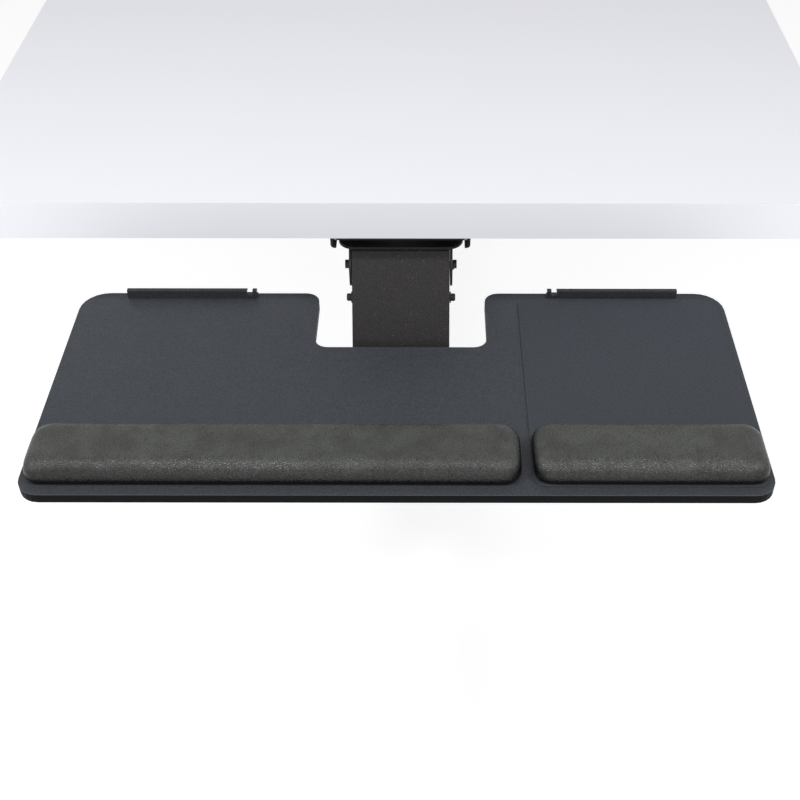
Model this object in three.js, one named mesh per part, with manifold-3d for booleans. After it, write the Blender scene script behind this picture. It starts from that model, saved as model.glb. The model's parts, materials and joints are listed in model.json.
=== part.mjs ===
// Keyboard tray on an articulating arm, hung from a track under a plain desktop panel.
// Millimetres, +Z up. The origin is on the desktop's underside at its front edge, on the track's
// centre line; the user stands on the -Y side and +X is at the user's right.
import * as THREE from 'three';
import { mergeVertices } from 'three/addons/utils/BufferGeometryUtils.js';
import Module from 'manifold-3d';

const wasm = await Module();
wasm.setup();

// ---------- driving dimensions ----------
const GAP = 0.3;                 // clearance between pieces that fit into one another
const SHEET = 2;                 // folded sheet steel of the ears, arm and head
const PLATE = 2.5;               // flat steel of the slide, swivel and tilt plates

const DESK_WIDTH = 800;
const DESK_DEPTH = 500;
const DESK_THICKNESS = 36;
const BAND = 1;                  // edge band thickness

const TRACK_LENGTH = 430;
const TRACK_SETBACK = 10;        // front end behind the desk's front edge
const TRACK_WIDTH = 124;
const TRACK_HEIGHT = 17;
const TRACK_LIP = 5;             // how far each lower lip turns inward
const TRACK_BEND = 3.5;          // outer radius of the lip's bend
const STOP_LENGTH = 4;           // end stops inside the track
const STOP_HEIGHT = 6.7;         // enough to catch the slide plate's edge
const TRACK_SCREW_X = 36;
const TRACK_SCREW_INSET = 40;    // first and last screw rows from the track's ends

const CARRIAGE_LENGTH = 110;
const CARRIAGE_TO_STOP = 1;      // free play at the pulled-out end
const SLIDE_DROP = 7.5;          // slide plate's top below the desktop
const GLIDE_LENGTH = 30;
const GLIDE_INSET = 4;
const GLIDE_GRIP = 4;            // how deep the glide's groove holds the slide plate
const SLIDE_CORNER = 3;
const SWIVEL_PIN_R = 6;
const SWIVEL_HEAD_R = 11;
const SWIVEL_HEAD = 4;
const SWIVEL_NUT_R = 10;         // over the nut's corners
const SWIVEL_NUT = 4;            // nut's top above the slide plate
const PIN_END_CLEARANCE = 1.4;   // swivel pin below the track's web
const BEARING_R = 36;

const SWIVEL_DROP = 18.5;        // swivel plate's top below the desktop
const SWIVEL_WIDTH = 112;
const SWIVEL_LENGTH = 113;
const SWIVEL_CORNER = 14;
const EAR_WIDTH = 93;            // over the outer faces of the swivel ears
const EAR_DROP = 22;             // ears below the arm's pivot
const EAR_REACH = 20;            // ears' rear edge ahead of the swivel centre
const PIVOT_SETBACK = 16;        // arm pivot behind the desk's front edge
const PIVOT_DROP = 38.5;         // arm pivot below the desktop
const LINK_BACK = 14;            // link pivots behind the arm's pivots
const LINK_DOWN = 12;            // and below them

const ARM_LENGTH = 90;           // between the arm's two pivots
const ARM_LEAN = 32;             // degrees from plumb with the tray at rest
const ARM_PLAY = 0.65;           // each side, between the arm and the swivel ears
const ARM_WIDTH = EAR_WIDTH - 2 * (SHEET + ARM_PLAY);
const ARM_FRONT = 10.5;          // front face of the arm ahead of the pivot line
const ARM_BACK = 12;             // flange edge behind the pivot line
const ARM_HEAD = 13.5;           // arm beyond its upper pivot
const ARM_TOE = 12;              // arm beyond its lower pivot
const SPRING_AXLE_AT = 30;       // down the arm from its upper pivot
const AXLE_R = 3;
const AXLE_HEAD_R = 4;
const AXLE_HEAD = 3.5;
const BOSS_R = 5.2;              // collar on the spring axle's ends
const BOSS_LENGTH = 5;
const COLLAR = 1;                // thickness of those collars

const COIL_R = 6.2;
const WIRE_R = 1.5;
const COIL_TURNS = 6;
const COIL_START = 9;            // inner end of each spring from the centre line
const COIL_PITCH = 3.6;
const COIL_LEG = 26;             // straight end of the wire
const COIL_SHARE = 0.9;          // coil's share of the sweep, the rest being the leg
const LINK_PIN_HEAD = 1.5;
const LINK_WIDTH = 12;

const HEAD_EYE = 6;              // head metal round the lower pivot, inside the arm's toe
const LINK_PIN_HEAD_R = 3.6;
const HEAD_FLOOR = 10;           // head bracket's floor below the tilt stud
const HEAD_REACH = 8;            // head metal beyond the stud and the link pin
const AXLE_BELOW_BOARD = 17.8;   // board's underside above the lower pivot
const STUD_FRONT = 18;           // tilt stud ahead of the lower pivot
const STUD_DOWN = 16;            // and below it
const STUD_R = 3;
const STUD_HEAD_R = 7;
const STUD_HEAD = 3.5;
const WASHER_R = 9;
const WASHER = 1.5;
const SPACER_R = 6;
const TILT_RANGE = 15;           // degrees each way
const TILT_PLATE_WIDTH = 160;
const TILT_PLATE_DEPTH = 100;
const TILT_PLATE_SETBACK = 3;    // its rear edge ahead of the notch
const TILT_PLATE_CORNER = 8;
const PLATE_SCREW_INSET = 12;
const PLATE_SCREW_BITE = 6;      // screws' length in the board
const TILT_EAR_LENGTH = 40;      // along the tilt plate
const KNOB_R = 19;
const KNOB_LENGTH = 20;
const KNOB_LOBES = 7;
const KNOB_LOBE = 1.6;           // half the lobes' height
const KNOB_HUB_R = 10;
const KNOB_HUB = 5;
const KNOB_END = 3;              // closed outer end of the knob

const BOARD_WIDTH = 600;
const BOARD_DEPTH = 262;
const CORE_THICKNESS = 8.2;
const TOP_SHEET = 0.8;
const BOARD_REAR = 69.7;         // board's rear edge behind the lower pivot
const FRONT_CORNER = 18;
const REAR_CORNER = 25;
const NOTCH_WIDTH = 155;
const NOTCH_DEPTH = 80;
const NOTCH_MOUTH = 13;          // radius of the board's corners at the notch mouth
const NOTCH_CORNER = 12;

const REST_FRONT_INSET = 9;      // palm rests behind the board's front edge
const REST_DEPTH = 59;
const REST_HEIGHT = 18.5;
const REST_END_INSET = 3.7;      // outer ends of the palm rests from the board's ends
const REST_SPLIT = 103.8;        // centre of the gap between the two rests
const REST_GAP = 8.7;
const REST_CORNER = 13;
const REST_ROUND = 6;
const REST_BASE = 3;             // stiff base hidden in the pad's underside
const REST_BASE_INSET = 8;
const MAT_THICKNESS = 1.2;
const MAT_CORNER = 10;
const MAT_OVERHANG = 0.5;        // mat ahead of the palm rest's front
const MAT_REAR_INSET = 9;        // mat's rear edge ahead of the board's rear edge

const STOP_RAIL_LENGTH = 121.5;
const STOP_RAIL_INNER = 136;     // inner end from the centre line
const STOP_RAIL_INSET = 8;       // wall's front face ahead of the board's rear edge
const STOP_RAIL_HEIGHT = 8.7;
const STOP_RAIL_SHEET = 1.5;
const STOP_RAIL_LIP = 4;
const CABLE_SLOT = 4.8;
const CABLE_EYE_R = 2.9;
const CABLE_SLOT_FLOOR = 3.4;    // metal left under the cable slot
const CABLE_POST = 3.6;          // metal left at the rail's end
const RAIL_SCREW_INNER = 18;     // screws from the rail's inner and outer ends
const RAIL_SCREW_OUTER = 14;
const RAIL_SCREW_REAR = 3.6;     // and from the board's rear edge

const SCREW_R = 2;
const SCREW_HEAD_R = 3.8;
const SCREW_HEAD = 2.2;
const SCREW_POINT = 3;
const SCREW_BITE = 12;           // track screws' length in the desktop
const SCREW_SIDES = 12;

// ---------- derived places ----------
const rad = THREE.MathUtils.degToRad;
const swivelY = TRACK_SETBACK + STOP_LENGTH + CARRIAGE_TO_STOP + CARRIAGE_LENGTH / 2;
const swivelBottom = -SWIVEL_DROP - PLATE;
const earOut = EAR_WIDTH / 2;
const earIn = earOut - SHEET;
const armOut = ARM_WIDTH / 2;
const armIn = armOut - SHEET;
const headOut = armIn - 2 * GAP;
const headIn = headOut - SHEET;
const linkOut = headIn - 2 * GAP;
const linkIn = linkOut - SHEET;
const pivot = new THREE.Vector3(0, PIVOT_SETBACK, -PIVOT_DROP);
const linkOffset = new THREE.Vector3(0, LINK_BACK, -LINK_DOWN);
const lowerAxle = new THREE.Vector3(0, -Math.sin(rad(ARM_LEAN)), -Math.cos(rad(ARM_LEAN)))
  .multiplyScalar(ARM_LENGTH).add(pivot);
const studAt = { y: -STUD_FRONT, z: -STUD_DOWN };
const knobInner = earOut + WASHER + 2 * GAP;    // knob's inner face, beyond the ear and the washer
const boardBottom = AXLE_BELOW_BOARD;           // platform heights are above the lower pivot
const coreTop = boardBottom + CORE_THICKNESS;
const boardTop = coreTop + TOP_SHEET;
const boardRear = BOARD_REAR;
const boardFront = boardRear - BOARD_DEPTH;
const notchFront = boardRear - NOTCH_DEPTH;
const tiltPlateRear = notchFront - TILT_PLATE_SETBACK;
const restFront = boardFront + REST_FRONT_INSET;
const restRear = restFront + REST_DEPTH;
const railFront = boardRear - STOP_RAIL_INSET;

// ---------- materials ----------
const finish = (color, roughness, metalness = 0) =>
  new THREE.MeshStandardMaterial({ color, roughness, metalness });
const whiteBoard = finish(0xeeeff2, 0.45);
const blackSteel = finish(0x2c2a2a, 0.6, 0.3);
const zincSteel = finish(0x8f9295, 0.35, 0.9);
const springSteel = finish(0x5c5e60, 0.35, 0.9);
const nylon = finish(0xd9d6cc, 0.5);
const slate = finish(0x44474f, 0.75);
const blackCore = finish(0x1c1e20, 0.6);
const matCloth = finish(0x3d4047, 0.85);
const leatherette = finish(0x4b4c4a, 0.45);
const blackPlastic = finish(0x1a1a1b, 0.4);

// ---------- shape helpers ----------
function block(x0, x1, y0, y1, z0, z1) {
  return new THREE.BoxGeometry(x1 - x0, y1 - y0, z1 - z0)
    .translate((x0 + x1) / 2, (y0 + y1) / 2, (z0 + z1) / 2);
}

// Points on an arc, a step every 15 degrees or finer; the sweep's sign gives its direction.
function arc(x, y, radius, from, sweep, step = 15) {
  const steps = Math.max(2, Math.ceil(Math.abs(sweep) / rad(step) - 1e-6));
  return Array.from({ length: steps + 1 }, (_, i) => {
    const angle = from + sweep * i / steps;
    return new THREE.Vector2(x + radius * Math.cos(angle), y + radius * Math.sin(angle));
  });
}

// A closed outline through [x, y, corner radius] points.
function outline(corners) {
  return new THREE.Shape(corners.flatMap(([x, y, radius = 0], i) => {
    const at = new THREE.Vector2(x, y);
    if (radius === 0) return [at];
    const [backX, backY] = corners.at(i - 1);
    const [aheadX, aheadY] = corners[(i + 1) % corners.length];
    const back = new THREE.Vector2(backX, backY).sub(at).normalize();
    const ahead = new THREE.Vector2(aheadX, aheadY).sub(at).normalize();
    const half = Math.acos(back.dot(ahead)) / 2;
    const centre = back.clone().add(ahead).normalize().multiplyScalar(radius / Math.sin(half)).add(at);
    const start = back.clone().multiplyScalar(radius / Math.tan(half)).add(at).sub(centre);
    const sweep = (Math.PI - 2 * half) * (back.cross(ahead) < 0 ? 1 : -1);
    return arc(centre.x, centre.y, radius, start.angle(), sweep);
  }));
}

function roundedRectangle(x0, x1, y0, y1, radius) {
  return outline([[x0, y0, radius], [x1, y0, radius], [x1, y1, radius], [x0, y1, radius]]);
}

function extrude(shape, depth, options = {}) {
  return new THREE.ExtrudeGeometry(shape, { depth, bevelEnabled: false, ...options });
}

// Extrusions of a plan outline upwards, a side (y, z) outline along X, and an end (x, z) outline along Y.
const plate = (shape, z0, z1) => extrude(shape, z1 - z0).translate(0, 0, z0);
const alongX = (shape, x0, x1) => extrude(shape, x1 - x0)
  .applyMatrix4(new THREE.Matrix4().makeBasis(
    new THREE.Vector3(0, 1, 0), new THREE.Vector3(0, 0, 1), new THREE.Vector3(1, 0, 0)))
  .translate(x0, 0, 0);
const alongY = (shape, y0, y1) => extrude(shape, y1 - y0).rotateX(Math.PI / 2).translate(0, y1, 0);

// A turned piece with its axis along +Z from [radius, height] points; the ends close on the axis.
function turned(profile, sides = 16) {
  const points = profile.map(([r, z]) => new THREE.Vector2(r, z));
  return new THREE.LatheGeometry(points, sides).rotateX(Math.PI / 2);
}
const rodZ = (r, z0, z1, x = 0, y = 0, sides = 16) =>
  turned([[0, z0], [r, z0], [r, z1], [0, z1]], sides).translate(x, y, 0);
const turnedX = (profile, y, z, sides = 16) =>
  turned(profile, sides).rotateY(Math.PI / 2).translate(0, y, z);
const rodX = (r, x0, x1, y = 0, z = 0, sides = 16) =>
  turnedX([[0, x0], [r, x0], [r, x1], [0, x1]], y, z, sides);
const rodY = (r, y0, y1, x, z, sides = 16) =>
  turned([[0, -y1], [r, -y1], [r, -y0], [0, -y0]], sides).rotateX(Math.PI / 2).translate(x, 0, z);

// ---------- joining and cutting ----------
function toSolid(geometry) {
  const bare = geometry.index ? geometry.toNonIndexed() : geometry.clone();
  bare.deleteAttribute('normal');
  bare.deleteAttribute('uv');
  const merged = mergeVertices(bare, 1e-4);
  return new wasm.Manifold(new wasm.Mesh({
    numProp: 3,
    vertProperties: new Float32Array(merged.attributes.position.array),
    triVerts: new Uint32Array(merged.index.array),
  }));
}

function toGeometry(solid) {
  const mesh = solid.getMesh();
  const geometry = new THREE.BufferGeometry();
  geometry.setAttribute('position', new THREE.BufferAttribute(mesh.vertProperties, 3));
  geometry.setIndex(new THREE.BufferAttribute(mesh.triVerts, 1));
  return geometry;
}

const joined = (...pieces) => toGeometry(pieces.map(toSolid).reduce((a, b) => a.add(b)));
const cut = (geometry, ...tools) =>
  toGeometry(tools.map(toSolid).reduce((a, b) => a.subtract(b), toSolid(geometry)));

function piece(group, name, geometry, material) {
  const mesh = new THREE.Mesh(geometry, material);
  mesh.name = name;
  group.add(mesh);
}

function groupAt(parent, position = new THREE.Vector3(), leanDegrees = 0) {
  const group = new THREE.Group();
  group.position.copy(position);
  group.rotation.x = -rad(leanDegrees);
  parent.add(group);
  return group;
}

const sides = [['left', -1], ['right', 1]];
const mirrored = (sign, a, b) => (sign < 0 ? [-b, -a] : [a, b]);

// A screw with its head's underside at z = 0 and its point at -length.
const screw = (length) => turned([
  [0, -length], [SCREW_R * 0.4, -length], [SCREW_R, -length + SCREW_POINT], [SCREW_R, 0],
  [SCREW_HEAD_R, 0], [SCREW_HEAD_R, SCREW_HEAD * 0.6], [SCREW_HEAD_R * 0.7, SCREW_HEAD], [0, SCREW_HEAD],
], SCREW_SIDES);
const screwUp = (length) => screw(length).rotateX(Math.PI);
const screwHole = ({ x, y }, z0, z1) => rodZ(SCREW_R + GAP, z0, z1, x, y, SCREW_SIDES);

// ---------- desktop ----------
const trackFront = TRACK_SETBACK;
const trackRear = TRACK_SETBACK + TRACK_LENGTH;
const trackScrews = [0, 1, 2].flatMap((row) => [-1, 1].map((side) => ({
  x: side * TRACK_SCREW_X,
  y: trackFront + TRACK_SCREW_INSET + row * (TRACK_LENGTH - 2 * TRACK_SCREW_INSET) / 2,
})));

function addDesktop(parent) {
  const half = DESK_WIDTH / 2;
  const pilots = trackScrews.map((at) => screwHole(at, -1, SCREW_BITE + GAP));
  const panel = block(-half + BAND, half - BAND, BAND, DESK_DEPTH - BAND, 0, DESK_THICKNESS);
  piece(parent, 'desktop_panel', cut(panel, ...pilots), whiteBoard);
  const band = (name, x0, x1, y0, y1) =>
    piece(parent, name, block(x0, x1, y0, y1, 0, DESK_THICKNESS), whiteBoard);
  band('edge_band_front', -half, half, 0, BAND);
  band('edge_band_rear', -half, half, DESK_DEPTH - BAND, DESK_DEPTH);
  band('edge_band_left', -half, -half + BAND, BAND, DESK_DEPTH - BAND);
  band('edge_band_right', half - BAND, half, BAND, DESK_DEPTH - BAND);
}

// ---------- track: a C section of sheet steel, open below ----------
function addTrack(parent) {
  const half = TRACK_WIDTH / 2;
  const lip = half - TRACK_LIP;
  const inner = half - SHEET;
  const floor = -TRACK_HEIGHT;
  const section = outline([
    [-half, 0], [-half, floor, TRACK_BEND], [-lip, floor], [-lip, floor + SHEET],
    [-inner, floor + SHEET, TRACK_BEND - SHEET], [-inner, -SHEET], [inner, -SHEET],
    [inner, floor + SHEET, TRACK_BEND - SHEET], [lip, floor + SHEET], [lip, floor],
    [half, floor, TRACK_BEND], [half, 0],
  ]);
  const holes = trackScrews.map((at) => screwHole(at, -SHEET - 1, 1));
  piece(parent, 'track', cut(alongY(section, trackFront, trackRear), ...holes), blackSteel);
  trackScrews.forEach(({ x, y }, i) => piece(parent, `track_screw_${i + 1}`,
    screwUp(SCREW_BITE + SHEET).translate(x, y, -SHEET), zincSteel));
  const stopEnd = inner - TRACK_BEND;
  const stop = (name, y0) => piece(parent, name,
    block(-stopEnd, stopEnd, y0, y0 + STOP_LENGTH, -SHEET - STOP_HEIGHT, -SHEET), blackPlastic);
  stop('track_front_stop', trackFront);
  stop('track_rear_stop', trackRear - STOP_LENGTH);
}

// ---------- carriage: slide plate in four nylon glides, carrying the swivel pin ----------
function addCarriage(parent) {
  const carriage = groupAt(parent, new THREE.Vector3(0, swivelY, 0));
  const glideOut = TRACK_WIDTH / 2 - SHEET - GAP;
  const plateOut = glideOut - GLIDE_GRIP;
  const top = -SLIDE_DROP;
  const bottom = top - PLATE;
  const halfLength = CARRIAGE_LENGTH / 2;
  const slide = plate(
    roundedRectangle(-plateOut, plateOut, -halfLength, halfLength, SLIDE_CORNER), bottom, top);
  piece(carriage, 'slide_plate', cut(slide, rodZ(SWIVEL_PIN_R + GAP, bottom - 1, top + 1)), zincSteel);

  const ceiling = -SHEET - GAP;
  const floor = -TRACK_HEIGHT + SHEET + GAP;
  const grooveIn = plateOut + GAP;
  const bodyIn = plateOut - GLIDE_GRIP;
  const clip = TRACK_BEND - SHEET;
  const section = outline([
    [bodyIn, floor], [glideOut, floor, clip], [glideOut, ceiling], [bodyIn, ceiling],
    [bodyIn, top + GAP], [grooveIn, top + GAP], [grooveIn, bottom - GAP], [bodyIn, bottom - GAP],
  ]);
  const glideStart = halfLength - GLIDE_INSET - GLIDE_LENGTH;
  [['front', -1], ['rear', 1]].forEach(([end, back]) => sides.forEach(([side, sign]) => {
    const glide = alongY(section, ...mirrored(back, glideStart, glideStart + GLIDE_LENGTH));
    if (sign < 0) glide.rotateZ(Math.PI).translate(0, 2 * back * (glideStart + GLIDE_LENGTH / 2), 0);
    piece(carriage, `glide_${end}_${side}`, glide, nylon);
  }));

  const bearing = rodZ(BEARING_R, -SWIVEL_DROP + GAP, bottom - GAP, 0, 0, 32);
  const bearingHole = rodZ(SWIVEL_PIN_R + GAP, -SWIVEL_DROP, bottom);
  piece(carriage, 'swivel_bearing', cut(bearing, bearingHole), nylon);
  const headTop = swivelBottom - GAP;
  const headBottom = headTop - SWIVEL_HEAD;
  const pinTop = -SHEET - PIN_END_CLEARANCE;
  piece(carriage, 'swivel_pin', turned([
    [0, headBottom], [SWIVEL_HEAD_R - 3, headBottom], [SWIVEL_HEAD_R, headBottom + 2],
    [SWIVEL_HEAD_R, headTop], [SWIVEL_PIN_R, headTop], [SWIVEL_PIN_R, pinTop], [0, pinTop],
  ], 24), zincSteel);
  const nut = rodZ(SWIVEL_NUT_R, top + GAP, top + SWIVEL_NUT, 0, 0, 6);
  piece(carriage, 'swivel_nut', cut(nut, rodZ(SWIVEL_PIN_R + GAP, top, 0)), zincSteel);
}

// ---------- swivel bracket: a round-cornered plate with two hanging ears ----------
function addSwivel(parent) {
  const swivel = groupAt(parent);
  const link = pivot.clone().add(linkOffset);
  const half = SWIVEL_WIDTH / 2;
  const reach = SWIVEL_LENGTH / 2;
  const deck = plate(roundedRectangle(-half, half, swivelY - reach, swivelY + reach, SWIVEL_CORNER),
    swivelBottom, -SWIVEL_DROP);
  const earFront = PIVOT_SETBACK - ARM_FRONT;
  const ear = outline([
    [swivelY - EAR_REACH, -SWIVEL_DROP - PLATE / 2], [PIVOT_SETBACK + 3, -SWIVEL_DROP - PLATE / 2],
    [earFront, pivot.z + 4, 6], [earFront, pivot.z - EAR_DROP + 4, 8],
    [PIVOT_SETBACK, pivot.z - EAR_DROP, 3], [link.y + 10, pivot.z - EAR_DROP, 6],
  ]);
  const ears = sides.map(([, sign]) => alongX(ear, ...mirrored(sign, earIn, earOut)));
  const bracket = joined(deck, ...ears);
  piece(swivel, 'swivel_bracket', cut(bracket,
    rodZ(SWIVEL_PIN_R + GAP, swivelBottom - 1, -SWIVEL_DROP + 1, 0, swivelY),
    rodX(AXLE_R + GAP, -earOut - 1, earOut + 1, pivot.y, pivot.z),
    rodX(AXLE_R + GAP, -earOut - 1, earOut + 1, link.y, link.z)), blackSteel);
  piece(swivel, 'upper_axle', headedPin(earOut, AXLE_HEAD_R, AXLE_HEAD, pivot), blackSteel);
  piece(swivel, 'upper_link_pin', headedPin(earOut, LINK_PIN_HEAD_R, LINK_PIN_HEAD, link), blackSteel);
}

// A pin along X with a head beyond each outer face.
function headedPin(face, headR, headLength, at) {
  const inner = face + GAP;
  const outer = inner + headLength;
  return turnedX([
    [0, -outer], [headR, -outer], [headR, -inner], [AXLE_R, -inner],
    [AXLE_R, inner], [headR, inner], [headR, outer], [0, outer],
  ], at.y, at.z);
}

// ---------- arm: an open-backed channel, drawn hanging plumb from its pivot ----------
function addArm(parent) {
  const arm = groupAt(parent, pivot, ARM_LEAN);
  const side = outline([
    [-ARM_FRONT, ARM_HEAD, 2], [ARM_BACK - 5, ARM_HEAD, 9], [ARM_BACK, -ARM_HEAD, 9],
    [ARM_BACK, -ARM_LENGTH + ARM_TOE, 9], [ARM_BACK - 4, -ARM_LENGTH - ARM_TOE, 9],
    [-ARM_FRONT, -ARM_LENGTH - ARM_TOE, 2],
  ]);
  const hollow = block(-armIn, armIn, -ARM_FRONT + SHEET, ARM_BACK + 5,
    -ARM_LENGTH - ARM_TOE - 5, ARM_HEAD + 5);
  const bore = (z) => rodX(AXLE_R + GAP, -armOut - 1, armOut + 1, 0, z);
  const channel = alongX(side, -armOut, armOut);
  const bores = [0, -SPRING_AXLE_AT, -ARM_LENGTH].map(bore);
  piece(arm, 'arm_channel', cut(channel, hollow, ...bores), blackSteel);

  const face = armOut + GAP;
  const end = face + BOSS_LENGTH;
  const collar = face + COLLAR;
  const endR = AXLE_R + 0.5;
  piece(arm, 'spring_axle', turnedX([
    [0, -end], [AXLE_R, -end], [endR, -end + 1], [endR, -collar], [BOSS_R, -collar],
    [BOSS_R, -face], [AXLE_R, -face], [AXLE_R, face], [BOSS_R, face], [BOSS_R, collar],
    [endR, collar], [endR, end - 1], [AXLE_R, end], [0, end],
  ], 0, -SPRING_AXLE_AT), blackSteel);

  sides.forEach(([name, sign]) => {
    const spring = extrude(coilSection(), 1, {
      extrudePath: new CoilPath(sign), steps: COIL_TURNS * 12 + 8,
    });
    piece(arm, `lift_spring_${name}`, spring.translate(0, 0, -SPRING_AXLE_AT), springSteel);
  });
}

function coilSection() {
  return new THREE.Shape(Array.from({ length: 6 }, (_, i) =>
    new THREE.Vector2(WIRE_R * Math.cos(i * Math.PI / 3), WIRE_R * Math.sin(i * Math.PI / 3))));
}

// A torsion spring about the X axis: a coil whose wire leaves straight down the arm's inner face.
class CoilPath extends THREE.Curve {
  constructor(sign) {
    super();
    this.sign = sign;
  }

  getPoint(t, target = new THREE.Vector3()) {
    const turns = COIL_TURNS - 0.25;
    const along = Math.min(t / COIL_SHARE, 1);
    const angle = along * turns * 2 * Math.PI;
    const leg = Math.max(t - COIL_SHARE, 0) / (1 - COIL_SHARE) * COIL_LEG;
    const x = this.sign * (COIL_START + along * turns * COIL_PITCH);
    return target.set(x, COIL_R * Math.sin(angle), COIL_R * Math.cos(angle) - leg);
  }
}

// ---------- links: two bars that keep the head level ----------
function addLinks(parent) {
  const links = groupAt(parent, pivot.clone().add(linkOffset), ARM_LEAN);
  const half = LINK_WIDTH / 2;
  const bar = roundedRectangle(-half, half, -ARM_LENGTH - half, half, half * 0.9);
  sides.forEach(([name, sign]) => {
    const flat = alongX(bar, ...mirrored(sign, linkIn, linkOut));
    const bore = (z) => rodX(AXLE_R + GAP, -linkOut - 1, linkOut + 1, 0, z);
    piece(links, `link_${name}`, cut(flat, bore(0), bore(-ARM_LENGTH)), blackSteel);
  });
}

// ---------- head: level bracket between arm and platform, with the tilt stud ----------
function addHead(parent) {
  const head = groupAt(parent, lowerAxle);
  const floor = -STUD_DOWN - HEAD_FLOOR;
  const rear = LINK_BACK + HEAD_REACH;
  const front = -STUD_FRONT - HEAD_REACH;
  const side = outline([
    [-HEAD_EYE, HEAD_EYE, HEAD_EYE], [HEAD_EYE + 2, HEAD_EYE, HEAD_EYE],
    [rear, -LINK_DOWN + 4, 5], [rear, floor, 3], [front, floor, 3], [front, -STUD_DOWN + 4, 5],
    [-STUD_FRONT + 3, -STUD_DOWN + 4, 3], [-HEAD_EYE, -HEAD_EYE - 2, 2],
  ]);
  const hollow = block(-headIn, headIn, front - 1, rear + 1, floor + SHEET, HEAD_EYE + 1);
  const bore = (y, z, r) => rodX(r + GAP, -headOut - 1, headOut + 1, y, z);
  piece(head, 'head_bracket', cut(alongX(side, -headOut, headOut), hollow,
    bore(0, 0, AXLE_R), bore(studAt.y, studAt.z, STUD_R), bore(LINK_BACK, -LINK_DOWN, AXLE_R)), blackSteel);
  piece(head, 'lower_axle', headedPin(earOut, AXLE_HEAD_R + 1, AXLE_HEAD, { y: 0, z: 0 }), blackSteel);
  piece(head, 'lower_link_pin', headedPin(headOut, LINK_PIN_HEAD_R, LINK_PIN_HEAD - 0.5,
    { y: LINK_BACK, z: -LINK_DOWN }), zincSteel);

  const headStart = -earOut - GAP;
  const headEnd = headStart - STUD_HEAD;
  const studEnd = knobInner + KNOB_LENGTH - KNOB_END - 1;
  piece(head, 'tilt_stud', turnedX([
    [0, headEnd], [STUD_HEAD_R - 2, headEnd], [STUD_HEAD_R, headEnd + 2], [STUD_HEAD_R, headStart],
    [STUD_R, headStart], [STUD_R, studEnd], [0, studEnd],
  ], studAt.y, studAt.z), zincSteel);
  const ring = (name, r, x0, x1) => piece(head, name, cut(rodX(r, x0, x1, studAt.y, studAt.z),
    rodX(STUD_R + GAP, x0 - 1, x1 + 1, studAt.y, studAt.z)), zincSteel);
  ring('tilt_washer', WASHER_R, earOut + GAP, knobInner - GAP);
  sides.forEach(([name, sign]) =>
    ring(`tilt_spacer_${name}`, SPACER_R, ...mirrored(sign, headOut + GAP, earIn - GAP)));
}

// ---------- tilt knob: a lobed hand wheel on the stud ----------
function addKnob(parent) {
  const knob = groupAt(parent, lowerAxle);
  const lobes = Array.from({ length: KNOB_LOBES * 8 }, (_, i) => {
    const angle = i / (KNOB_LOBES * 8) * 2 * Math.PI;
    const r = KNOB_R - KNOB_LOBE + KNOB_LOBE * Math.cos(KNOB_LOBES * angle);
    return new THREE.Vector2(studAt.y + r * Math.cos(angle), studAt.z + r * Math.sin(angle));
  });
  const outer = knobInner + KNOB_LENGTH;
  const hub = rodX(KNOB_HUB_R, knobInner, knobInner + KNOB_HUB, studAt.y, studAt.z);
  const wheel = alongX(new THREE.Shape(lobes), knobInner + KNOB_HUB - 1, outer);
  const bore = rodX(STUD_R + GAP, knobInner - 1, outer - KNOB_END, studAt.y, studAt.z);
  piece(knob, 'tilt_knob', cut(joined(hub, wheel), bore), blackPlastic);
}

// ---------- platform: tilt plate, board, mat, palm rests and rear stops ----------
const plateScrews = [-1, 1].flatMap((side) => [0, 1, 2].map((row) => ({
  x: side * (TILT_PLATE_WIDTH / 2 - PLATE_SCREW_INSET),
  y: tiltPlateRear - PLATE_SCREW_INSET - row * (TILT_PLATE_DEPTH / 2 - PLATE_SCREW_INSET),
})));
const railScrewsAlong = [RAIL_SCREW_INNER, STOP_RAIL_LENGTH - RAIL_SCREW_OUTER];
const railScrews = sides.flatMap(([, sign]) => railScrewsAlong.map((along) => ({
  x: sign * (STOP_RAIL_INNER + along),
  y: boardRear - RAIL_SCREW_REAR,
})));

// Slot for the stud round the lower axle, wide enough for the tilt each way.
function tiltSlot() {
  const reach = Math.hypot(studAt.y, studAt.z);
  const middle = Math.atan2(studAt.z, studAt.y);
  const swing = rad(TILT_RANGE + 1);
  const half = STUD_R + GAP;
  const cap = (angle, from) =>
    arc(reach * Math.cos(angle), reach * Math.sin(angle), half, from, Math.PI, 30).slice(1, -1);
  return new THREE.Shape([
    ...arc(0, 0, reach + half, middle - swing, 2 * swing, 8),
    ...cap(middle + swing, middle + swing),
    ...arc(0, 0, reach - half, middle + swing, -2 * swing, 8),
    ...cap(middle - swing, middle - swing + Math.PI),
  ]);
}

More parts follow.
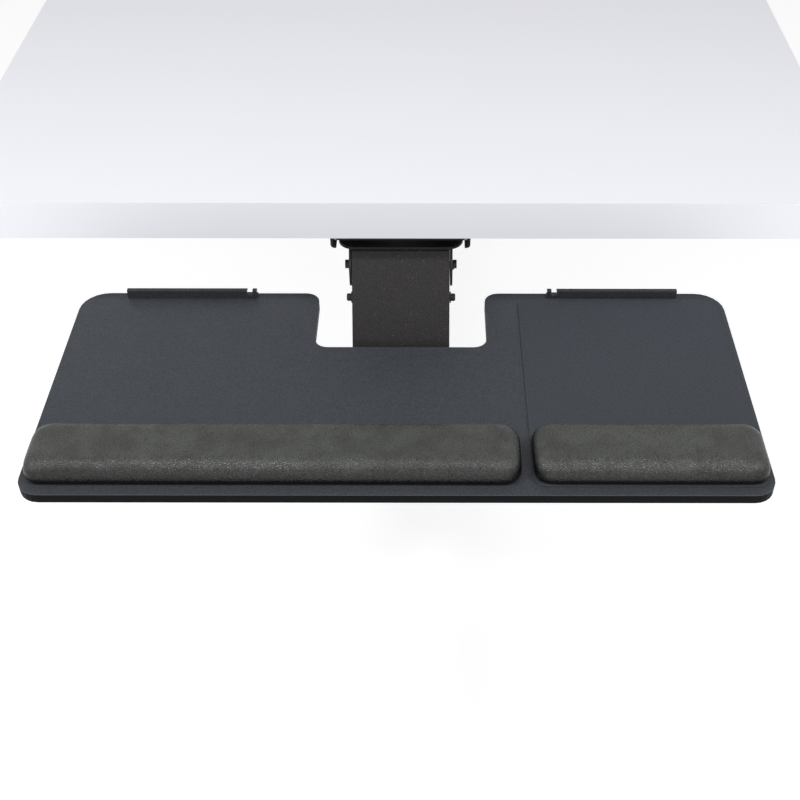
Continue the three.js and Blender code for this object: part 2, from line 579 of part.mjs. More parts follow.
function addTiltPlate(platform) {
  const top = boardBottom;
  const bottom = top - PLATE;
  const rear = tiltPlateRear;
  const earFront = rear - TILT_EAR_LENGTH;
  const half = TILT_PLATE_WIDTH / 2;
  const deck = plate(
    roundedRectangle(-half, half, rear - TILT_PLATE_DEPTH, rear, TILT_PLATE_CORNER), bottom, top);
  const ear = outline([
    [earFront, bottom + 1], [earFront, bottom - 6, 5], [-STUD_FRONT - 16, -STUD_DOWN - 12, 10],
    [-STUD_FRONT + 14, -STUD_DOWN - 14, 10], [12, -8, 9], [10, 10, 8], [rear, bottom + 1],
  ]);
  const ears = sides.map(([, sign]) => alongX(ear, ...mirrored(sign, earIn, earOut)));
  const holes = plateScrews.map((at) => screwHole(at, bottom - 1, top + 1));
  piece(platform, 'tilt_plate', cut(joined(deck, ...ears), ...holes,
    rodX(AXLE_R + GAP, -earOut - 1, earOut + 1),
    alongX(tiltSlot(), -earOut - 1, earOut + 1)), blackSteel);
  plateScrews.forEach(({ x, y }, i) =>
    piece(platform, `plate_screw_${i + 1}`,
      screwUp(PLATE + PLATE_SCREW_BITE).translate(x, y, bottom), zincSteel));
}

function boardOutline() {
  const half = BOARD_WIDTH / 2;
  const notch = NOTCH_WIDTH / 2;
  return outline([
    [-half, boardFront, FRONT_CORNER], [half, boardFront, FRONT_CORNER], [half, boardRear, REAR_CORNER],
    [notch, boardRear, NOTCH_MOUTH], [notch, notchFront, NOTCH_CORNER],
    [-notch, notchFront, NOTCH_CORNER], [-notch, boardRear, NOTCH_MOUTH], [-half, boardRear, REAR_CORNER],
  ]);
}

function addBoard(platform) {
  const blind = plateScrews.map((at) =>
    screwHole(at, boardBottom - 1, boardBottom + PLATE_SCREW_BITE + GAP));
  const through = (z0, z1) => railScrews.map((at) => screwHole(at, z0 - 1, z1 + 1));
  piece(platform, 'board_core', cut(plate(boardOutline(), boardBottom, coreTop),
    ...blind, ...through(boardBottom, coreTop)), blackCore);
  piece(platform, 'board_top_sheet', cut(plate(boardOutline(), coreTop, boardTop),
    ...through(coreTop, boardTop)), slate);
}

// Padded palm rests, each over a stiff base let into its underside; the right one stands on the mat.
function addRests(platform) {
  const end = BOARD_WIDTH / 2 - REST_END_INSET;
  const spans = {
    left: [-end, REST_SPLIT - REST_GAP / 2, 0],
    right: [REST_SPLIT + REST_GAP / 2, end, MAT_THICKNESS],
  };
  const padTop = boardTop + REST_HEIGHT;
  Object.entries(spans).forEach(([side, [x0, x1, lift]]) => {
    const foot = boardTop + lift;
    const inside = (inset) => roundedRectangle(
      x0 + inset, x1 - inset, restFront + inset, restRear - inset, REST_CORNER - inset);
    piece(platform, `palm_rest_base_${side}`,
      plate(inside(REST_BASE_INSET), foot, foot + REST_BASE), blackPlastic);
    const body = extrude(inside(REST_ROUND), padTop - foot - GAP - 2 * REST_ROUND, {
      bevelEnabled: true, bevelThickness: REST_ROUND, bevelSize: REST_ROUND, bevelSegments: 3,
    }).translate(0, 0, foot + GAP + REST_ROUND);
    const pocket = plate(inside(REST_BASE_INSET - GAP), foot, foot + REST_BASE + GAP);
    piece(platform, `palm_rest_pad_${side}`, cut(body, pocket), leatherette);
  });
  const mat = roundedRectangle(...spans.right.slice(0, 2),
    restFront - MAT_OVERHANG, boardRear - MAT_REAR_INSET, MAT_CORNER);
  piece(platform, 'mouse_mat', plate(mat, boardTop, boardTop + MAT_THICKNESS), matCloth);
}

// Rear stop: foot, wall and a lip turned to the rear, with a keyhole for a cable near its inner end.
function addRearStops(platform) {
  const t = STOP_RAIL_SHEET;
  const top = boardTop + STOP_RAIL_HEIGHT;
  const section = outline([
    [railFront, boardTop], [boardRear, boardTop],
    [boardRear, boardTop + t], [railFront + t, boardTop + t], [railFront + t, top - t],
    [railFront + STOP_RAIL_LIP, top - t], [railFront + STOP_RAIL_LIP, top], [railFront, top, 1],
  ]);
  const slotAt = STOP_RAIL_INNER + CABLE_POST + CABLE_EYE_R;
  const eyeAt = boardTop + CABLE_SLOT_FLOOR + CABLE_EYE_R;
  const behind = railFront + STOP_RAIL_LIP + 1;
  sides.forEach(([side, sign]) => {
    const x = sign * slotAt;
    const rail = alongX(section, ...mirrored(sign, STOP_RAIL_INNER, STOP_RAIL_INNER + STOP_RAIL_LENGTH));
    const eye = rodY(CABLE_EYE_R, railFront - 1, behind, x, eyeAt);
    const mouth = block(x - CABLE_SLOT / 2, x + CABLE_SLOT / 2, railFront - 1, behind, eyeAt, top + 1);
    const holes = railScrews.filter((at) => at.x * sign > 0)
      .map((at) => screwHole(at, boardTop - 1, boardTop + t + 0.5));
    piece(platform, `rear_stop_${side}`, cut(rail, eye, mouth, ...holes), blackSteel);
  });
  railScrews.forEach(({ x, y }, i) => piece(platform, `rear_stop_screw_${i + 1}`,
    screwUp(boardTop + t - boardBottom).translate(x, y, boardBottom), zincSteel));
}

// ---------- the whole ----------
const model = new THREE.Group();
addDesktop(model);
addTrack(model);
addCarriage(model);
addSwivel(model);
addArm(model);
addLinks(model);
addHead(model);
addKnob(model);
const platform = groupAt(model, lowerAxle);
addTiltPlate(platform);
addBoard(platform);
addRests(platform);
addRearStops(platform);

export default model;
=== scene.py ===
"""The desk and its articulating keyboard tray: materials, padded palm rests, light and camera.

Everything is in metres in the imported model's frame: the origin is on the desktop's underside at the
middle of its front edge, -Y is the user's side and +X the user's right.
"""
import json
import math

import bmesh
import bpy
from mathutils import Matrix, Vector


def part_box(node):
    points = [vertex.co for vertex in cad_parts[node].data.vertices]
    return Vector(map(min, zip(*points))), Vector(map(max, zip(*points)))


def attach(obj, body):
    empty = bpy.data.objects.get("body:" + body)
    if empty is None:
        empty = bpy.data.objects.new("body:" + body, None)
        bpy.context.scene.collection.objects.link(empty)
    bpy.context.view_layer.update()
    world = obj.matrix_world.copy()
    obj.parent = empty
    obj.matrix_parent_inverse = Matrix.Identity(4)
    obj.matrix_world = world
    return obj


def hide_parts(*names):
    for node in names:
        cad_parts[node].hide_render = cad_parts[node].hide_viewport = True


MM = 0.001

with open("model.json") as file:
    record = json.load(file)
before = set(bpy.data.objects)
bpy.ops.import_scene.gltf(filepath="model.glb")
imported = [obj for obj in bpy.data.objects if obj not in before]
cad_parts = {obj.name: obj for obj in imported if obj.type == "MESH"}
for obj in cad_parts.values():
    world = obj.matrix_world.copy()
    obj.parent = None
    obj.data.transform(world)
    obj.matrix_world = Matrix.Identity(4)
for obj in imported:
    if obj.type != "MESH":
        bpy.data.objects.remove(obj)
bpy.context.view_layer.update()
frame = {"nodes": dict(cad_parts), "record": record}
scene = bpy.context.scene


# ---------- camera, light and floor ----------
CAMERA_AT = Vector((0.0258, -0.8654, 0.5879))
CAMERA_DOWN = 41.93             # degrees below the horizon
CAMERA_ROLL = 0.07              # degrees
LENS = 53.47                    # mm
SENSOR_WIDTH = 36.0             # mm
SHIFT_X = -0.0367               # sensor widths
FLOOR_BELOW = 0.72              # desk height, desktop underside above the floor
FLOOR_HALF = 30.0
FLOOR_WHITE = (0.92, 0.92, 0.92)
FLOOR_ROUGHNESS = 0.9
FLOOR_GLOW = 0.38               # keeps the surround nearly white
SKY_STRENGTH = 0.56
TRAY_AT = (0.0, -0.1, -0.08)
SOFTBOXES = (                   # name, place, aimed at, width and depth, watts
    ("key_right", (0.7, -0.8, 1.5), TRAY_AT, (0.8, 0.8), 1),
    ("glint_left", (-0.85, -0.35, 0.9), (-0.3, -0.2, -0.07), (0.08, 0.08), 3),
    ("glint_right", (0.75, -0.35, 0.9), (0.25, -0.2, -0.07), (0.08, 0.08), 1.6),
    ("overhead", (0.0, -0.40, 1.2), TRAY_AT, (2.2, 0.08), 9),
    ("front_fill", (0.0, -1.7, 0.0), (0.0, 0.0, 0.0), (1.6, 0.6), 7.5),
)


def add_camera():
    data = bpy.data.cameras.new("camera")
    data.lens = LENS
    data.sensor_width = SENSOR_WIDTH
    data.shift_x = SHIFT_X
    camera = bpy.data.objects.new("camera", data)
    camera.location = CAMERA_AT
    tilt = Matrix.Rotation(math.radians(90 - CAMERA_DOWN), 4, "X")
    roll = Matrix.Rotation(math.radians(CAMERA_ROLL), 4, "Z")
    camera.rotation_euler = (tilt @ roll).to_euler()
    scene.collection.objects.link(camera)
    scene.camera = camera


def add_softbox(name, at, towards, size, power):
    data = bpy.data.lights.new(name, "AREA")
    data.shape = "RECTANGLE"
    data.size, data.size_y = size
    data.energy = power
    lamp = bpy.data.objects.new(name, data)
    lamp.location = at
    lamp.rotation_euler = (Vector(towards) - Vector(at)).to_track_quat("-Z", "Y").to_euler()
    scene.collection.objects.link(lamp)


def add_floor():
    mesh = bpy.data.meshes.new("floor")
    far = FLOOR_HALF
    corners = [(-far, -far, 0), (far, -far, 0), (far, far, 0), (-far, far, 0)]
    mesh.from_pydata(corners, [], [(0, 1, 2, 3)])
    floor = bpy.data.objects.new("floor", mesh)
    floor.location.z = -FLOOR_BELOW
    paint, _ = new_material("studio_floor", FLOOR_WHITE, FLOOR_ROUGHNESS,
                            Emission_Color=(1.0, 1.0, 1.0, 1.0), Emission_Strength=FLOOR_GLOW)
    floor.data.materials.append(paint)
    scene.collection.objects.link(floor)


def light_the_studio():
    world = bpy.data.worlds.new("studio")
    world.use_nodes = True
    background = world.node_tree.nodes["Background"]
    background.inputs["Color"].default_value = (1.0, 1.0, 1.0, 1.0)
    background.inputs["Strength"].default_value = SKY_STRENGTH
    scene.world = world
    scene.view_settings.view_transform = "Standard"
    for softbox in SOFTBOXES:
        add_softbox(*softbox)


# ---------- material building blocks ----------
def new_material(name, colour, roughness, metallic=0.0, **sockets):
    material = bpy.data.materials.new(name)
    material.use_nodes = True
    shader = material.node_tree.nodes["Principled BSDF"]
    shader.inputs["Base Color"].default_value = (*colour, 1.0)
    shader.inputs["Roughness"].default_value = roughness
    shader.inputs["Metallic"].default_value = metallic
    for socket, value in sockets.items():
        shader.inputs[socket.replace("_", " ")].default_value = value
    return material, shader


MIX_FACTOR, MIX_FIRST, MIX_SECOND, MIX_RESULT = 0, 6, 7, 2      # a Mix node's colour sockets


class Nodes:
    """Short calls for one material's node tree; textures read the object's own metres."""

    def __init__(self, material):
        self.tree = material.node_tree
        self.coordinates = self.tree.nodes.new("ShaderNodeTexCoord")
        self.place = self.coordinates.outputs["Object"]

    def link(self, output, node, socket):
        self.tree.links.new(output, node.inputs[socket])

    def stretched(self, factors):
        mapping = self.tree.nodes.new("ShaderNodeMapping")
        mapping.inputs["Scale"].default_value = factors
        self.link(self.place, mapping, "Vector")
        return mapping.outputs["Vector"]

    def facing(self, axis):
        """How far the surface faces along one of the object's own axes, from -1 to 1."""
        parts = self.tree.nodes.new("ShaderNodeSeparateXYZ")
        self.link(self.coordinates.outputs["Normal"], parts, "Vector")
        return parts.outputs[axis]

    def noise(self, size, detail=3.0, roughness=0.5, vector=None):
        node = self.tree.nodes.new("ShaderNodeTexNoise")
        node.inputs["Scale"].default_value = 1.0 / size
        node.inputs["Detail"].default_value = detail
        node.inputs["Roughness"].default_value = roughness
        self.link(vector or self.place, node, "Vector")
        return node.outputs["Fac"]

    def cells(self, size, feature="F1"):
        """Distance within cells of the given size: from their centres, or from their edges."""
        node = self.tree.nodes.new("ShaderNodeTexVoronoi")
        node.feature = feature
        node.inputs["Scale"].default_value = 1.0 / size
        self.link(self.place, node, "Vector")
        return node.outputs["Distance"]

    def ramp(self, value, *stops):
        """A colour ramp through (position, grey) stops."""
        node = self.tree.nodes.new("ShaderNodeValToRGB")
        steps = node.color_ramp.elements
        while len(steps) < len(stops):
            steps.new(0.5)
        for step, (position, grey) in zip(steps, stops):
            step.position = position
            step.color = (grey, grey, grey, 1.0)
        self.link(value, node, "Fac")
        return node.outputs["Color"]

    def contrast(self, value, spread):
        """Stretches a value round 0.5: black a spread below it, white a spread above it."""
        return self.ramp(value, (0.5 - spread, 0.0), (0.5 + spread, 1.0))

    def vary_roughness(self, shader, size, low, high, detail=3.0, spread=0.2):
        """Lets the roughness wander between low and high, in patches of the given size."""
        stops = (0.5 - spread, low), (0.5 + spread, high)
        self.link(self.ramp(self.noise(size, detail), *stops), shader, "Roughness")

    def colour(self, shader, factor, dark, light):
        """The shader's base colour runs from dark to light with the factor."""
        self.link(self.blend(factor, dark, light), shader, "Base Color")

    def blend(self, factor, first, second, mode="MIX"):
        node = self.tree.nodes.new("ShaderNodeMix")
        node.data_type = "RGBA"
        node.blend_type = mode
        for socket, value in ((MIX_FACTOR, factor), (MIX_FIRST, first), (MIX_SECOND, second)):
            if isinstance(value, bpy.types.NodeSocket):
                self.link(value, node, socket)
            else:
                node.inputs[socket].default_value = value if socket == MIX_FACTOR else (*value, 1.0)
        return node.outputs[MIX_RESULT]

    def add(self, first, second, weight):
        """The first value plus the weighted second."""
        node = self.tree.nodes.new("ShaderNodeMath")
        node.operation = "MULTIPLY_ADD"
        factor, multiplier, addend = node.inputs
        multiplier.default_value = weight
        self.tree.links.new(second, factor)
        self.tree.links.new(first, addend)
        return node.outputs["Value"]

    def bump(self, shader, height, depth, strength=1.0):
        node = self.tree.nodes.new("ShaderNodeBump")
        node.inputs["Distance"].default_value = depth
        node.inputs["Strength"].default_value = strength
        self.link(height, node, "Height")
        self.link(node.outputs["Normal"], shader, "Normal")


# ---------- the materials ----------
FLAKE_PITCH = 1.9 * MM
FLAKE_SOLID, FLAKE_FADED = 0.10, 0.14       # how far a flake reaches, in pitches
FLAKE_NOISE = ((0.63, 0.0), (0.67, 0.8))    # only the noise's highest patches keep their flakes


def white_laminate():
    material, shader = new_material("white_laminate", (0.77, 0.775, 0.82), roughness=0.42)
    n = Nodes(material)
    n.vary_roughness(shader, size=30 * MM, low=0.38, high=0.46)
    n.bump(shader, n.noise(size=1.2 * MM, detail=2.0), depth=0.04 * MM)
    return material


def powder_coat(name, dark, light, flake_glint_colour):
    """Fine-textured powder coat with a few bright flakes: the flakes are real, and their bright
    colour is partly a painted glint.
    """
    material, shader = new_material(name, light, roughness=0.5, Specular_IOR_Level=0.35)
    n = Nodes(material)
    tone = n.blend(n.contrast(n.noise(size=1.1 * MM, roughness=0.6), spread=0.15), dark, light)
    flake = n.cells(FLAKE_PITCH)
    spot = n.ramp(flake, (0.0, 1.0), (FLAKE_SOLID, 1.0), (FLAKE_FADED, 0.0))
    chosen = n.ramp(n.noise(size=3.1 * MM, detail=0.0), *FLAKE_NOISE)
    # the flakes' bright colour is partly painted glint, not only the flakes' own colour
    n.colour(shader, n.blend(1.0, spot, chosen, "MULTIPLY"), tone, flake_glint_colour)
    n.vary_roughness(shader, size=5 * MM, low=0.44, high=0.56)
    n.bump(shader, n.noise(size=0.6 * MM, roughness=0.6), depth=0.14 * MM, strength=0.8)
    return material


def black_powder_coat():
    dark, light, flake = (0.009, 0.008, 0.0078), (0.027, 0.0245, 0.024), (0.30, 0.285, 0.27)
    return powder_coat("black_powder_coat", dark, light, flake)


def rail_powder_coat():
    """The rear stops' slightly bluer, lighter coat."""
    dark, light, flake = (0.026, 0.028, 0.032), (0.052, 0.056, 0.064), (0.16, 0.17, 0.18)
    return powder_coat("rail_powder_coat", dark, light, flake)


def slate_laminate():
    dark, light = (0.028, 0.0315, 0.038), (0.051, 0.0565, 0.066)
    material, shader = new_material("slate_laminate", light, roughness=0.55, Specular_IOR_Level=0.3)
    n = Nodes(material)
    n.colour(shader, n.contrast(n.noise(size=1.3 * MM, roughness=0.7), spread=0.12), dark, light)
    n.vary_roughness(shader, size=40 * MM, low=0.48, high=0.56)
    n.bump(shader, n.noise(size=0.7 * MM, detail=2.0), depth=0.06 * MM, strength=0.8)
    return material


def painted_edge_highlight():
    """The top sheet's bevelled edge, painted light as a highlight line; its tone wanders a little at
    random.
    """
    dark, light = (0.42, 0.44, 0.48), (0.52, 0.54, 0.58)
    material, shader = new_material("painted_edge_highlight", light, roughness=0.4)
    n = Nodes(material)
    n.colour(shader, n.noise(size=4 * MM), dark, light)
    return material


def black_core():
    """Board core seen at its edge, in thin flat layers."""
    dark, light = (0.003, 0.0035, 0.005), (0.006, 0.0065, 0.008)
    material, shader = new_material("black_core", light, roughness=0.45, Specular_IOR_Level=0.04)
    n = Nodes(material)
    layers = n.noise(size=1.1 * MM, detail=2.0, vector=n.stretched((0.05, 0.05, 1.0)))
    n.colour(shader, layers, dark, light)
    n.bump(shader, layers, depth=0.05 * MM, strength=0.5)
    return material


def mat_cloth():
    dark, light = (0.034, 0.038, 0.046), (0.048, 0.053, 0.063)
    material, shader = new_material("mat_cloth", light, roughness=0.8, Specular_IOR_Level=0.3)
    n = Nodes(material)
    warp, weft = (n.noise(size=0.7 * MM, detail=1.0, vector=n.stretched(factors))
                  for factors in ((1.0, 0.25, 1.0), (0.25, 1.0, 1.0)))
    weave = n.blend(0.5, warp, weft)
    n.colour(shader, n.contrast(weave, spread=0.1), dark, light)
    n.bump(shader, weave, depth=0.12 * MM, strength=0.8)
    return material


def leatherette():
    """Grained cover in a mottled olive grey, with painted shade that darkens it to near black where
    its surface turns to face sideways.
    """
    # side is painted shade, a near-black colour for the faces that turn away from the top
    side, olive, grey = (0.003, 0.0028, 0.0026), (0.048, 0.050, 0.044), (0.067, 0.071, 0.066)
    material, shader = new_material("leatherette", grey, roughness=0.4, Specular_IOR_Level=0.4)
    n = Nodes(material)
    mottle = n.contrast(n.noise(size=24 * MM, roughness=0.55), spread=0.12)
    # painted shade: the cover darkens from its top to its sides according to which way the surface
    # faces
    painted_side_shade = n.ramp(n.facing("Z"), (0.35, 0.0), (0.9, 1.0))
    cover = n.blend(painted_side_shade, side, n.blend(mottle, olive, grey))
    pebble = n.cells(1.7 * MM, "DISTANCE_TO_EDGE")
    # painted shade: the cover is darkened in the creases between the grain's pebbles
    painted_crease_shade = n.ramp(pebble, (0.0, 0.55), (0.2, 1.0))
    n.link(n.blend(1.0, cover, painted_crease_shade, "MULTIPLY"), shader, "Base Color")
    n.vary_roughness(shader, size=1.6 * MM, low=0.24, high=0.36, detail=2.0, spread=0.15)
    grain = n.ramp(pebble, (0.0, 0.0), (0.3, 1.0))
    pores = n.noise(size=0.8 * MM, detail=2.0)
    n.bump(shader, n.add(grain, pores, weight=0.5), depth=0.16 * MM)
    return material


def black_plastic():
    material, shader = new_material("black_plastic", (0.016, 0.016, 0.017), roughness=0.38)
    n = Nodes(material)
    n.vary_roughness(shader, size=6 * MM, low=0.32, high=0.44)
    n.bump(shader, n.noise(size=0.6 * MM, detail=2.0), depth=0.08 * MM, strength=0.7)
    return material


def zinc_steel():
    dark, light = (0.36, 0.37, 0.40), (0.47, 0.48, 0.49)
    material, shader = new_material("zinc_steel", light, roughness=0.36, metallic=1.0)
    n = Nodes(material)
    bloom = n.ramp(n.cells(4 * MM), (0.0, 0.0), (0.8, 1.0))
    n.colour(shader, bloom, dark, light)
    n.vary_roughness(shader, size=2 * MM, low=0.28, high=0.44)
    return material


def spring_steel():
    dark, light = (0.07, 0.07, 0.078), (0.14, 0.135, 0.13)
    material, shader = new_material("spring_steel", light, roughness=0.3, metallic=1.0)
    n = Nodes(material)
    n.colour(shader, n.noise(size=3 * MM), dark, light)
    return material


def nylon():
    dark, light = (0.56, 0.54, 0.48), (0.64, 0.62, 0.56)
    material, shader = new_material("nylon", light, roughness=0.45, Subsurface_Weight=0.1,
                                    Subsurface_Radius=(2 * MM, 1.8 * MM, 1.4 * MM))
    n = Nodes(material)
    n.colour(shader, n.noise(size=10 * MM), dark, light)
    n.bump(shader, n.noise(size=1.5 * MM), depth=0.04 * MM, strength=0.5)
    return material


MATERIALS = {maker.__name__: maker() for maker in (
    white_laminate, black_powder_coat, slate_laminate, black_core, mat_cloth, leatherette,
    black_plastic, zinc_steel, spring_steel, nylon)}


# ---------- finishing the CAD nodes ----------
EDGE_WIDTHS = {                 # rounded edges, in mm, by material slot
    "white_laminate": 0.45, "black_powder_coat": 0.35, "slate_laminate": 0.38, "black_core": 0.4,
    "mat_cloth": 0.3, "black_plastic": 0.5, "zinc_steel": 0.2, "nylon": 0.3,
}
EDGE_SEGMENTS = 2
EDGE_ANGLE = 50                 # degrees; flatter edges aren't rounded
SMOOTH_ANGLE = 38               # degrees; flatter edges are shaded smooth
RAILS = ("rear_stop_left", "rear_stop_right")


def smooth_by_angle():
    """A modifier tree that shades smooth and keeps edges over SMOOTH_ANGLE crisp."""
    tree = bpy.data.node_groups.new("smooth_by_angle", "GeometryNodeTree")
    tree.is_modifier = True
    tree.interface.new_socket("Geometry", in_out="INPUT", socket_type="NodeSocketGeometry")
    tree.interface.new_socket("Geometry", in_out="OUTPUT", socket_type="NodeSocketGeometry")
    start = tree.nodes.new("NodeGroupInput")
    end = tree.nodes.new("NodeGroupOutput")
    faces = tree.nodes.new("GeometryNodeSetShadeSmooth")
    edges = tree.nodes.new("GeometryNodeSetShadeSmooth")
    edges.domain = "EDGE"
    edges.inputs["Shade Smooth"].default_value = False
    angle = tree.nodes.new("GeometryNodeInputMeshEdgeAngle")
    sharp = tree.nodes.new("FunctionNodeCompare")
    sharp.inputs[1].default_value = math.radians(SMOOTH_ANGLE)
    tree.links.new(start.outputs[0], faces.inputs["Geometry"])
    tree.links.new(faces.outputs[0], edges.inputs["Geometry"])
    tree.links.new(angle.outputs["Unsigned Angle"], sharp.inputs[0])
    tree.links.new(sharp.outputs[0], edges.inputs["Selection"])
    tree.links.new(edges.outputs[0], end.inputs[0])
    return tree


SMOOTHER = smooth_by_angle()


def shade_smooth(piece):
    piece.modifiers.new("shading", "NODES").node_group = SMOOTHER


def finish_nodes():
    edge_highlight_paint, rail_paint = painted_edge_highlight(), rail_powder_coat()
    slots = {part["node"]: part["material_slot"] for part in frame["record"]["subparts"]}
    for name, node in frame["nodes"].items():
        slot = slots[name]
        node.data.materials.clear()
        node.data.materials.append(rail_paint if name in RAILS else MATERIALS[slot])
        if slot in EDGE_WIDTHS:
            bevel = node.modifiers.new("edges", "BEVEL")
            bevel.width = EDGE_WIDTHS[slot] * MM
            bevel.segments = EDGE_SEGMENTS
            bevel.limit_method = "ANGLE"
            bevel.angle_limit = math.radians(EDGE_ANGLE)
            if name == "board_top_sheet":
                # the top sheet's bevel takes the painted highlight colour
                node.data.materials.append(edge_highlight_paint)
                bevel.material = 1
        shade_smooth(node)


# ---------- pieces made here ----------
def skin(mesh, rings):
    """Joins closed rings of vertices into a tube with both ends shut."""
    for first, second in zip(rings, rings[1:]):
        for i in range(len(first)):
            j = (i + 1) % len(first)
            mesh.faces.new((first[i], first[j], second[j], second[i]))
    mesh.faces.new(list(reversed(rings[0])))
    mesh.faces.new(rings[-1])


def new_object(name, mesh):
    data = bpy.data.meshes.new(name)
    mesh.to_mesh(data)
    mesh.free()
    piece = bpy.data.objects.new(name, data)
    scene.collection.objects.link(piece)
    return piece


def dress(piece, slot, body, *replaced):
    """Gives a piece its smooth shading, material and body, and hides the CAD nodes it stands for."""
    for face in piece.data.polygons:
        face.use_smooth = True
    piece.data.materials.clear()
    piece.data.materials.append(MATERIALS[slot])
    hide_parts(*replaced)
    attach(piece, body)


# ---------- palm rests ----------
PAD_CORNER = 14 * MM            # plan radius at the foot
PAD_LEAST_CORNER = 4 * MM
PAD_CORNER_LOSS = 0.5           # how much of the roll's inset the plan radius loses
PAD_START = 0.3 * MM            # how much lower than the finished pad the cover is cut
PAD_PUFF = 0.8 * MM             # how far the filling may push the cover out
PAD_VOXEL = 2.6 * MM
PAD_FOOT = 4.0 * MM             # cover held by the base up to here
PAD_ROLLS = {"front": 11 * MM, "rear": 6 * MM, "end": 9 * MM}
PAD_FLARE = 1.0 * MM            # the cover spreads a little where it meets the board
PAD_FOOT_RINGS = ((1.0, 0.0), (0.4, 0.06), (0.0, 0.15))     # shares of the flare and the height
PAD_PRESSURE = 4.0
PAD_FRAMES = 20                 # length of the cloth simulation
PAD_SMOOTHING = 6               # passes that even out the simulated cover
ROLL_STEPS = 13
CORNER_STEPS = 9


def pad_ring(low, high, front, rear, end, z):
    """Points of a rounded rectangle inside the pad's plan, inset at its front, rear and ends."""
    x0, x1 = low.x + end, high.x - end
    y0, y1 = low.y + front, high.y - rear
    radius = max(PAD_CORNER - min(front, rear, end) * PAD_CORNER_LOSS, PAD_LEAST_CORNER)
    points = []
    for cx, cy, start in ((x1 - radius, y0 + radius, -90), (x1 - radius, y1 - radius, 0),
                          (x0 + radius, y1 - radius, 90), (x0 + radius, y0 + radius, 180)):
        for step in range(CORNER_STEPS):
            turn = math.radians(start + 90 / (CORNER_STEPS - 1) * step)
            points.append((cx + radius * math.cos(turn), cy + radius * math.sin(turn), z))
    return points


def pad_blank(name, low, high):
    """The closed cover before it is filled: a stack of rings from the foot to the rolled top."""
    mesh = bmesh.new()
    height = high.z - low.z
    rings = [pad_ring(low, high, *[-flare * PAD_FLARE] * 3, low.z + share * height)
             for flare, share in PAD_FOOT_RINGS]
    rolled = PAD_ROLLS["front"]
    for step in range(ROLL_STEPS):
        turn = math.radians(90 / (ROLL_STEPS - 1) * step)
        inward = 1 - math.cos(turn)
        insets = [PAD_ROLLS[edge] * inward for edge in ("front", "rear", "end")]
        rings.append(pad_ring(low, high, *insets, high.z - rolled + rolled * math.sin(turn)))
    skin(mesh, [[mesh.verts.new(point) for point in ring] for ring in rings])
    return new_object(name, mesh)


def apply_modifiers(obj):
    """Bakes the object's modifiers into its mesh."""
    evaluated = obj.evaluated_get(bpy.context.evaluated_depsgraph_get())
    data = bpy.data.meshes.new_from_object(evaluated)
    obj.modifiers.clear()
    obj.data = data


def fill_with_foam(pad, low):
    """Inflates the cover as cloth round its filling, with its foot held by the base."""
    start = [vertex.co.copy() for vertex in pad.data.vertices]
    held = pad.vertex_groups.new(name="held")
    held.add([i for i, co in enumerate(start) if co.z < low.z + PAD_FOOT], 1.0, "REPLACE")
    cloth = pad.modifiers.new("cloth", "CLOTH")
    cloth.settings.use_pressure = True
    cloth.settings.uniform_pressure_force = PAD_PRESSURE
    cloth.settings.vertex_group_mass = held.name
    cloth.settings.effector_weights.gravity = 0.0
    cloth.point_cache.frame_start = 1
    cloth.point_cache.frame_end = PAD_FRAMES
    for number in range(1, PAD_FRAMES + 1):
        scene.frame_set(number)
    apply_modifiers(pad)
    scene.frame_set(1)
    for vertex, before in zip(pad.data.vertices, start):
        moved = vertex.co - before
        if moved.length > 0:
            vertex.co = before + moved.normalized() * PAD_PUFF * math.tanh(moved.length / PAD_PUFF)


def add_pad(side):
    node = f"palm_rest_pad_{side}"
    low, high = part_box(node)
    high = high - Vector((0, 0, PAD_START))
    pad = pad_blank(f"palm_rest_cover_{side}", low, high)
    pattern = pad.copy()
    scene.collection.objects.link(pattern)
    remesh = pad.modifiers.new("remesh", "REMESH")
    remesh.mode = "VOXEL"
    remesh.voxel_size = PAD_VOXEL
    cling = pad.modifiers.new("cling", "SHRINKWRAP")
    cling.target = pattern
    apply_modifiers(pad)
    bpy.data.objects.remove(pattern)
    fill_with_foam(pad, low)
    soften = pad.modifiers.new("soften", "CORRECTIVE_SMOOTH")
    soften.iterations = PAD_SMOOTHING
    soften.use_only_smooth = True
    surface = pad.modifiers.new("surface", "SUBSURF")
    surface.levels = surface.render_levels = 1
    apply_modifiers(pad)
    dress(pad, "leatherette", "platform", node)


# ---------- screws ----------
SCREW_SIDES = 24
SOCKET = 1.25 * MM              # half the hexagon socket's width across flats
SOCKET_DEPTH = 1.3 * MM
SOCKET_LIP = 0.1 * MM           # how far inside the head the socket's rim starts
HEAD_HEIGHT = 2.2 * MM
SHANK_R = 2.0 * MM
POINT_R = 0.8 * MM
POINT_LENGTH = 3.0 * MM
HEAD_DOME = (                   # share of the head's radius, share of its height
    (0.50, 0.0), (0.76, 0.16), (0.92, 0.43), (1.0, 0.77), (1.0, 1.0),
)


def hexagon(turn):
    """Distance from a hexagon's centre to its edge, for a half width of one."""
    sixth = math.pi / 3
    return 1 / math.cos((turn + sixth / 2) % sixth - sixth / 2)


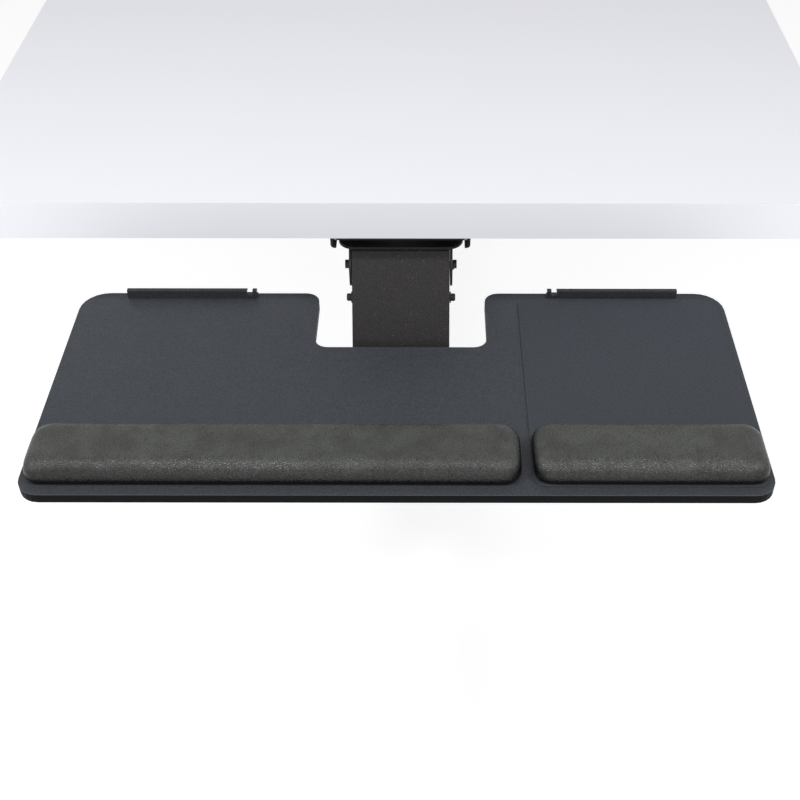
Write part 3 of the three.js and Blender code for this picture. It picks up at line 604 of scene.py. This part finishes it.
def add_screw(mesh, low, high):
    """One button-head screw with a hexagon socket, its head facing down."""
    middle = (low + high) / 2
    head_r = (high.x - low.x) / 2
    levels = [(SOCKET, low.z + SOCKET_DEPTH, hexagon), (SOCKET, low.z + SOCKET_LIP, hexagon)]
    levels += [(share * head_r, low.z + depth * HEAD_HEIGHT, None) for share, depth in HEAD_DOME]
    levels += [(SHANK_R, low.z + HEAD_HEIGHT, None), (SHANK_R, high.z - POINT_LENGTH, None),
               (POINT_R, high.z, None)]
    rings = []
    for radius, z, shape in levels:
        ring = []
        for i in range(SCREW_SIDES):
            turn = 2 * math.pi * i / SCREW_SIDES
            reach = radius * (shape(turn) if shape else 1)
            ring.append(mesh.verts.new(
                (middle.x + reach * math.cos(turn), middle.y + reach * math.sin(turn), z)))
        rings.append(ring)
    skin(mesh, rings)


def add_screws(name, body, node_stem, count):
    """One piece for a numbered group of screws on the same body."""
    nodes = [f"{node_stem}_{number}" for number in range(1, count + 1)]
    mesh = bmesh.new()
    for node in nodes:
        add_screw(mesh, *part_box(node))
    bmesh.ops.recalc_face_normals(mesh, faces=mesh.faces)
    screws = new_object(name, mesh)
    dress(screws, "zinc_steel", body, *nodes)
    shade_smooth(screws)


# ---------- lift springs ----------
COIL_R = 6.2 * MM
WIRE_R = 1.5 * MM
COIL_TURNS = 5.75
COIL_STEPS = 32                 # along one turn
WIRE_SIDES = 14
COIL_LEG = 26 * MM
LEG_STEPS = 6                   # along the straight leg
ARM_LEAN = 32                   # degrees from plumb


def spring_path(low, high, sign):
    """Centre line of one spring in the arm's own upright frame, round the spring axle."""
    start = (low.x if sign > 0 else -high.x) + WIRE_R
    end = (high.x if sign > 0 else -low.x) - WIRE_R
    steps = round(COIL_TURNS * COIL_STEPS)
    points = []
    for i in range(steps + 1):
        turn = 2 * math.pi * COIL_TURNS * i / steps
        x = start + (end - start) * i / steps
        points.append(Vector((sign * x, COIL_R * math.sin(turn), COIL_R * math.cos(turn))))
    last = points[-1]
    points += [last - Vector((0, 0, COIL_LEG * i / LEG_STEPS)) for i in range(1, LEG_STEPS + 1)]
    return points


def add_spring(side, sign, axle):
    node = f"lift_spring_{side}"
    lean = Matrix.Translation(axle) @ Matrix.Rotation(math.radians(-ARM_LEAN), 4, "X")
    path = [lean @ point for point in spring_path(*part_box(node), sign)]
    mesh = bmesh.new()
    rings = []
    across = Vector((1, 0, 0))
    for i, point in enumerate(path):
        along = (path[min(i + 1, len(path) - 1)] - path[max(i - 1, 0)]).normalized()
        across = (across - along * across.dot(along)).normalized()
        up = along.cross(across)
        rings.append([mesh.verts.new(
            point + across * WIRE_R * math.cos(turn) + up * WIRE_R * math.sin(turn))
            for turn in (2 * math.pi * k / WIRE_SIDES for k in range(WIRE_SIDES))])
    skin(mesh, rings)
    bmesh.ops.recalc_face_normals(mesh, faces=mesh.faces)
    dress(new_object(f"spring_{side}", mesh), "spring_steel", "arm", node)


# ---------- the whole scene ----------
add_camera()
light_the_studio()
add_floor()
finish_nodes()
axle_low, axle_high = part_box("spring_axle")
for side, sign in (("left", -1), ("right", 1)):
    add_pad(side)
    add_spring(side, sign, (axle_low + axle_high) / 2)
add_screws("track_screws", "desk_and_track", "track_screw", count=6)
add_screws("tilt_plate_screws", "platform", "plate_screw", count=6)
add_screws("rear_stop_screws", "platform", "rear_stop_screw", count=4)
